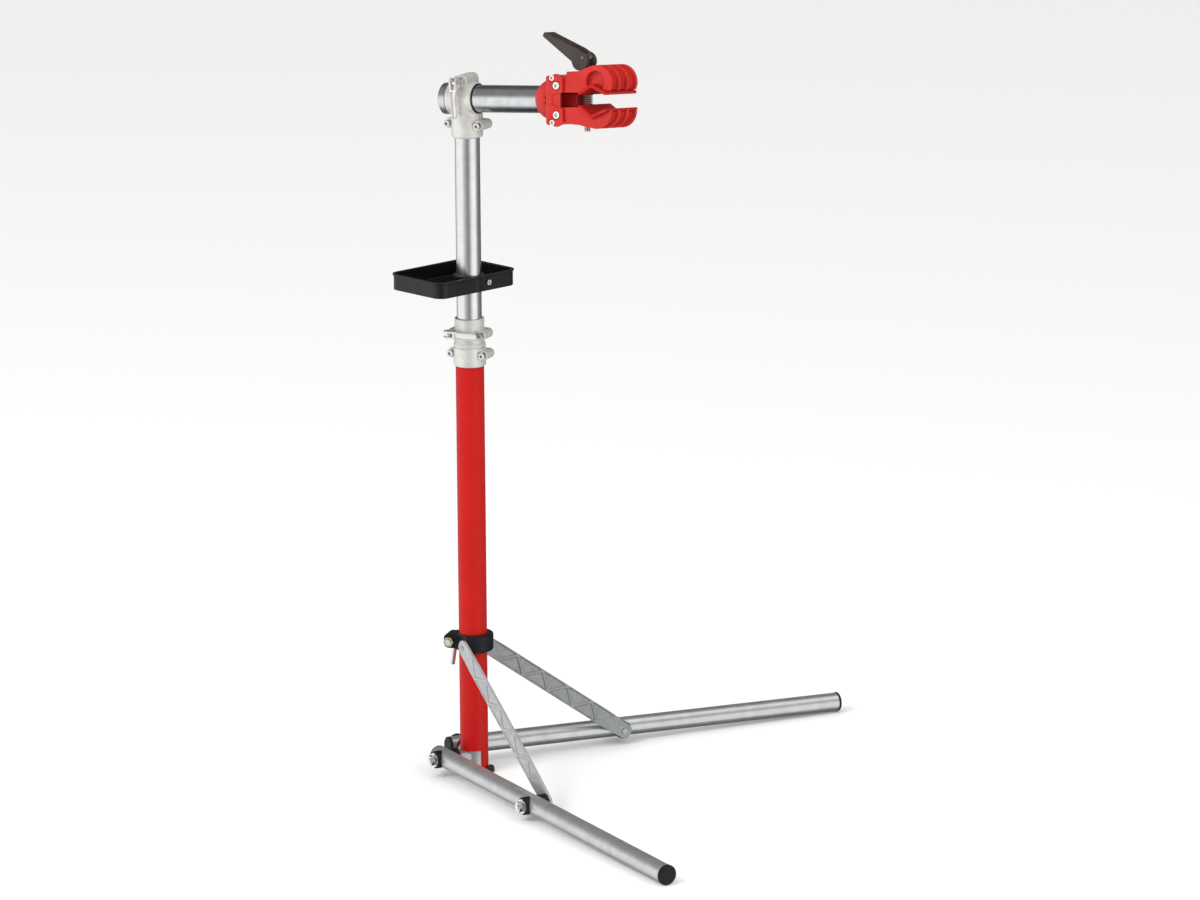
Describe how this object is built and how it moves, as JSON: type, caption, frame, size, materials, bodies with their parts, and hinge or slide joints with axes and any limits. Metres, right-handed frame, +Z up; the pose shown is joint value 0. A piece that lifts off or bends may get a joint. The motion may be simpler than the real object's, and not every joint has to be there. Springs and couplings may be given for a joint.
{
  "type": "bike repair stand",
  "caption": "Folding floor stand with a telescopic mast, a swivelling boom and a cam-closed clamp that holds a bicycle for repair.",
  "frame": {"origin": "the mast's axis at the floor, under the rubber foot", "axes": "+Z up, +X forward between the two legs and under the clamp, +Y to the left leg"},
  "size_m": [0.5315, 0.898, 1.0744],
  "materials": {
    "red_paint": "gloss",
    "cast_alloy": "satin",
    "hub_casting": "satin",
    "rubber": "matte",
    "zinc_steel": "satin",
    "lever_metal": "satin",
    "brass": "satin",
    "steel_tube": "brushed",
    "boom_steel": "brushed",
    "black_plastic": "matte",
    "red_plastic": "satin",
    "red_pad": "satin"
  },
  "bodies": {
    "base": {"main_tube": "red_paint", "base_hub": "hub_casting", "foot_plug": "rubber", "base_pivot_bolts": "zinc_steel", "base_pivot_nuts": "zinc_steel", "height_clamp_front": "cast_alloy", "height_clamp_back": "cast_alloy", "height_clamp_bolts": "zinc_steel", "height_skewer": "zinc_steel"},
    "leg_left": {"leg_tube_left": "steel_tube", "leg_caps_left": "black_plastic", "leg_saddles_left": "black_plastic", "strut_bolt_left": "zinc_steel"},
    "leg_right": {"leg_tube_right": "steel_tube", "leg_caps_right": "black_plastic", "leg_saddles_right": "black_plastic", "strut_bolt_right": "zinc_steel"},
    "strut_left": {"strut_left": "hub_casting", "strut_pin_left": "zinc_steel"},
    "strut_right": {"strut_right": "hub_casting", "strut_pin_right": "zinc_steel"},
    "collar": {"collar": "black_plastic", "collar_nut": "brass"},
    "collar_lever": {"collar_bolt": "zinc_steel", "collar_lever": "zinc_steel"},
    "height_lever": {"height_lever": "lever_metal", "height_lever_pin": "zinc_steel"},
    "mast_guide": {"mast_guide": "black_plastic"},
    "mast": {"mast_tube": "steel_tube", "head_front": "cast_alloy", "head_back": "cast_alloy", "head_bolts": "zinc_steel", "head_liner": "black_plastic", "head_skewer": "zinc_steel"},
    "head_lever": {"head_lever": "lever_metal", "head_lever_pin": "zinc_steel"},
    "tray_bushing": {"tray_bushing": "black_plastic"},
    "tray": {"tray": "black_plastic", "tray_screw": "zinc_steel"},
    "boom": {"boom_tube": "boom_steel", "boom_cap": "steel_tube", "housing_left": "red_plastic", "housing_right": "red_plastic", "jaw_pivots": "zinc_steel", "housing_screws": "zinc_steel"},
    "upper_jaw": {"upper_jaw": "red_plastic", "upper_pad": "red_pad"},
    "lower_jaw": {"lower_jaw": "red_plastic", "lower_pad": "red_pad", "jaw_spring": "zinc_steel"},
    "draw_nut": {"draw_nut": "zinc_steel"},
    "draw_rod": {"draw_rod": "zinc_steel"},
    "cam_lever": {"cam_lever": "black_plastic", "cam_pin": "zinc_steel"}
  },
  "joints": [
    {"name": "leg_left_fold", "type": "hinge", "parent": "base", "child": "leg_left", "pos_m": [-0.03178, 0.0353, 0.026], "axis": [0.6691, -0.7431, 0], "range_deg": [0, 87]},
    {"name": "leg_right_fold", "type": "hinge", "parent": "base", "child": "leg_right", "pos_m": [-0.03178, -0.0353, 0.026], "axis": [-0.6691, -0.7431, 0], "range_deg": [0, 87]},
    {"name": "strut_left_swing", "type": "hinge", "parent": "leg_left", "child": "strut_left", "pos_m": [0.18352, 0.16524, 0.02109], "axis": [-0.6691, 0.7431, 0], "range_deg": [0, 140.79]},
    {"name": "strut_right_swing", "type": "hinge", "parent": "leg_right", "child": "strut_right", "pos_m": [0.18352, -0.16524, 0.02109], "axis": [0.6691, 0.7431, 0], "range_deg": [0, 140.79]},
    {"name": "collar_slide", "type": "slide", "parent": "base", "child": "collar", "axis": [0, 0, 1], "range_m": [0, 0.36931]},
    {"name": "collar_lever_turn", "type": "hinge", "parent": "collar", "child": "collar_lever", "pos_m": [-0.031, 0.0163, 0.192], "axis": [0, 1, 0], "range_deg": [0, 150]},
    {"name": "height_lever_turn", "type": "hinge", "parent": "base", "child": "height_lever", "pos_m": [-0.02543, -0.01713, 0.638], "axis": [0, 0, -1], "range_deg": [0, 110]},
    {"name": "mast_slide", "type": "slide", "parent": "base", "child": "mast_guide", "axis": [0, 0, 1], "range_m": [-0.03, 0.26]},
    {"name": "mast_swivel", "type": "hinge", "parent": "mast_guide", "child": "mast", "pos_m": [0, 0, 0.285], "axis": [0, 0, 1], "continuous": true},
    {"name": "head_lever_turn", "type": "hinge", "parent": "mast", "child": "head_lever", "pos_m": [-0.00876, -0.02636, 0.99691], "axis": [-0.9672, 0.2411, -0.0802], "range_deg": [0, 120]},
    {"name": "tray_slide", "type": "slide", "parent": "mast", "child": "tray_bushing", "axis": [0, 0, 1], "range_m": [-0.008, 0.17]},
    {"name": "tray_swivel", "type": "hinge", "parent": "tray_bushing", "child": "tray", "pos_m": [0, 0, 0.71], "axis": [0, 0, 1], "continuous": true},
    {"name": "boom_roll", "type": "hinge", "parent": "mast", "child": "boom", "pos_m": [0, 0, 0.9705], "axis": [0.9672, -0.2411, 0.0802], "continuous": true},
    {"name": "upper_jaw_swing", "type": "hinge", "parent": "boom", "child": "upper_jaw", "pos_m": [0.16399, -0.0382, 1.00394], "axis": [-0.25, -0.9595, 0.1301], "range_deg": [0, 9.01]},
    {"name": "lower_jaw_swing", "type": "hinge", "parent": "boom", "child": "lower_jaw", "pos_m": [0.16581, -0.04403, 0.96441], "axis": [0.25, 0.9595, -0.1301], "range_deg": [0, 9.01], "deforming": ["jaw_spring"]},
    {"name": "draw_nut_slide", "type": "slide", "parent": "boom", "child": "draw_nut", "axis": [0.0456, -0.1459, -0.9883], "range_m": [0, 0.00381]},
    {"name": "draw_rod_turn", "type": "hinge", "parent": "draw_nut", "child": "draw_rod", "pos_m": [0.18957, -0.04726, 0.98622], "axis": [-0.0456, 0.1459, 0.9883], "range_deg": [-90, 90]},
    {"name": "cam_lever_turn", "type": "hinge", "parent": "draw_rod", "child": "cam_lever", "pos_m": [0.18692, -0.0388, 1.04354], "axis": [0.25, 0.9595, -0.1301], "range_deg": [0, 90]}
  ],
  "couplings": [
    {"joint": "leg_right_fold", "follows": "leg_left_fold", "ratio": 1},
    {"joint": "strut_left_swing", "follows": "leg_left_fold", "ratio": 1.6181},
    {"joint": "strut_right_swing", "follows": "leg_left_fold", "ratio": 1.6181},
    {"joint": "collar_slide", "follows": "leg_left_fold", "m_per_rad": 0.24321},
    {"joint": "upper_jaw_swing", "follows": "cam_lever_turn", "ratio": 0.1},
    {"joint": "lower_jaw_swing", "follows": "cam_lever_turn", "ratio": 0.1},
    {"joint": "draw_nut_slide", "follows": "cam_lever_turn", "m_per_rad": 0.0024192}
  ]
}
